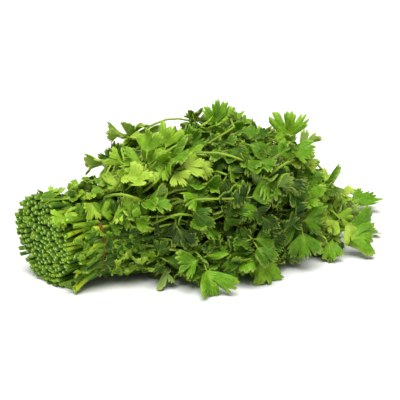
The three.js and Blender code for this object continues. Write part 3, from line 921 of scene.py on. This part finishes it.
def make_leafy_stems():
    """Every leaf with its stem, and the stems that no leaf needed, in a piece for each
    node's stems and one for its leaves."""
    leaf_green, stem_green = coriander_leaf(), coriander_stem()
    nodes = sorted(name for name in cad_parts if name.startswith("leafy_stems"))
    leaves_of = [new_bmesh("tone", "under") for _ in nodes]
    stems_of = [new_bmesh("tone", "cap") for _ in nodes]
    stems = stems_in_rings()
    leaves = [*leaves_standing_out(), *leaves_on_top()]
    for layer in LEAF_LAYERS:
        leaves += leaves_in_layer(layer)
    for leaf in leaves:
        stem = stem_for(leaf, stems)
        group = node_number(stem["u"], stem["v"])
        stamp_stem(stems_of[group], stem, leaf)
        stem["free"] = False
        add_leaf(leaves_of[group], stems_of[group], leaf)
    forward, upwards = Vector((1, 0, 0)), Vector((0, 0, 1))
    for stem in [stem for stem in stems if stem["free"]]:
        end = flow(FREE_STEMS_REACH_X, stem["u"], stem["v"])
        unseen = leaf_at(end, forward, upwards, 1, 0, "fine", 0, 0)
        stamp_stem(stems_of[node_number(stem["u"], stem["v"])], stem, unseen)
    add_scraps(leaves_of)
    for i, node in enumerate(nodes):
        number = node[-2:]
        finish_piece(stems_of[i], f"stems_{number}", stem_green, node)
        finish_piece(leaves_of[i], f"leaves_{number}", leaf_green, node)


def add_scraps(leaves_of):
    """Bits of leaf on the top and on the viewer's side of the bundle."""
    for scraps in SCRAPS:
        for _ in range(scraps["count"]):
            angle = 2 * math.pi * rng.uniform(*scraps["turns"])
            radius = STEM_RINGS * STEM_PITCH + rng.uniform(*scraps["lift"])
            u, v = radius * math.cos(angle), radius * math.sin(angle)
            face = Vector((0, math.cos(angle), math.sin(angle)))
            tip = Matrix.Rotation(rng.uniform(-3, 3), 3, face) @ Vector((1, 0, 0))
            tip = tip + face * rng.uniform(-0.2, 0.4)
            face = face + Vector([rng.uniform(-0.7, 0.7) for _ in range(3)])
            length = rng.uniform(*scraps["length"])
            tone = rng.uniform(*SCRAP_TONE)
            at = flow(rng.uniform(*scraps["x"]), u, v)
            scrap = leaf_at(at, tip, face, length, 1, "coarse", tone, angle)
            place = Matrix.Translation(at) @ scrap["rotation"].to_4x4()
            template = rng.choice(LEAFLETS["coarse"])
            add_leaflet(leaves_of[node_number(u, v)], template, place, length, tone, scrap["bend"])


def make_tie():
    """A narrow rubber band, stretched tight round the stems."""
    bm = bmesh.new()
    bmesh.ops.create_circle(bm, cap_ends=False, segments=TIE_SIDES, radius=1)
    for v in bm.verts:
        v.co = Vector((TIE_X + TIE_HALF_WIDTH * v.co.x, 0, TIE_HALF_THICKNESS * v.co.y + TIE_RADIUS))
    bmesh.ops.spin(bm, geom=bm.edges[:], cent=(0, 0, 0), axis=(1, 0, 0), angle=2 * math.pi,
                   steps=TIE_STEPS, use_merge=True)
    bmesh.ops.recalc_face_normals(bm, faces=bm.faces)
    # The band is narrower in places, wanders along the bundle and sinks in between stems.
    for v in bm.verts:
        angle = math.atan2(v.co.z, v.co.y)
        narrower = 0.85 + 0.15 * math.sin(5 * angle + 1)
        wander = 1.1 * math.sin(2 * angle + 1) + 0.35 * math.sin(7 * angle)
        sunk = 1 - 0.008 * (1 + math.sin(23 * angle))
        x = TIE_X + (v.co.x - TIE_X) * narrower + wander
        v.co = Vector((x, v.co.y * sunk, v.co.z * sunk * 0.99 + TIE_HEIGHT))
    for face in bm.faces:
        face.smooth = True
    finish_piece(bm, "rubber_tie", brown_rubber(), "tie")


# The setting: a plain pale table, soft light and the photograph's view


def make_table():
    """A table top that reaches past the picture on every side."""
    bm = bmesh.new()
    bmesh.ops.create_grid(bm, x_segments=1, y_segments=1, size=4.0)
    mesh = bpy.data.meshes.new("table")
    bm.to_mesh(mesh)
    bm.free()
    mesh.materials.append(pale_table())
    table = bpy.data.objects.new("table", mesh)
    bpy.context.scene.collection.objects.link(table)
    table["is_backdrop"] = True


def light_the_scene():
    """Even light from all round, and a broad soft key from above the left shoulder."""
    world = bpy.data.worlds.new("soft_room")
    world.use_nodes = True
    background = world.node_tree.nodes["Background"]
    background.inputs["Color"].default_value = (1, 1, 1, 1)
    background.inputs["Strength"].default_value = 0.27
    bpy.context.scene.world = world
    light = bpy.data.lights.new("key", "SUN")
    light.energy = 4.5
    light.angle = math.radians(50)
    key = bpy.data.objects.new("key", light)
    key.rotation_euler = Vector((-0.25, -0.35, 1.1)).to_track_quat("Z", "Y").to_euler()
    bpy.context.scene.collection.objects.link(key)


def place_camera():
    """The photograph's view: 26 degrees round from the side, 18 above, 1.5 pixels a mm."""
    azimuth, elevation = math.radians(-26), math.radians(18)
    distance = 0.95
    target = BUNCH_TO_FRAME @ Vector((108, 0, 42))
    back = Vector((
        math.sin(azimuth) * math.cos(elevation),
        -math.cos(azimuth) * math.cos(elevation),
        math.sin(elevation),
    ))
    camera = bpy.data.cameras.new("camera")
    camera.sensor_width = 36
    pixels_per_metre = 1500
    image_side = 400
    camera.lens = pixels_per_metre * distance / image_side * camera.sensor_width
    seen_from = bpy.data.objects.new("camera", camera)
    seen_from.location = target + back * distance
    seen_from.rotation_euler = (-back).to_track_quat("-Z", "Y").to_euler()
    bpy.context.scene.collection.objects.link(seen_from)
    bpy.context.scene.camera = seen_from


place_camera()
make_leafy_stems()
make_tie()
make_table()
light_the_scene()
bpy.context.scene.view_settings.view_transform = "Standard"

boxes = {"cad": cad_box, "visual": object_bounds()}
{name: [list(corner) for corner in box] for name, box in boxes.items()}
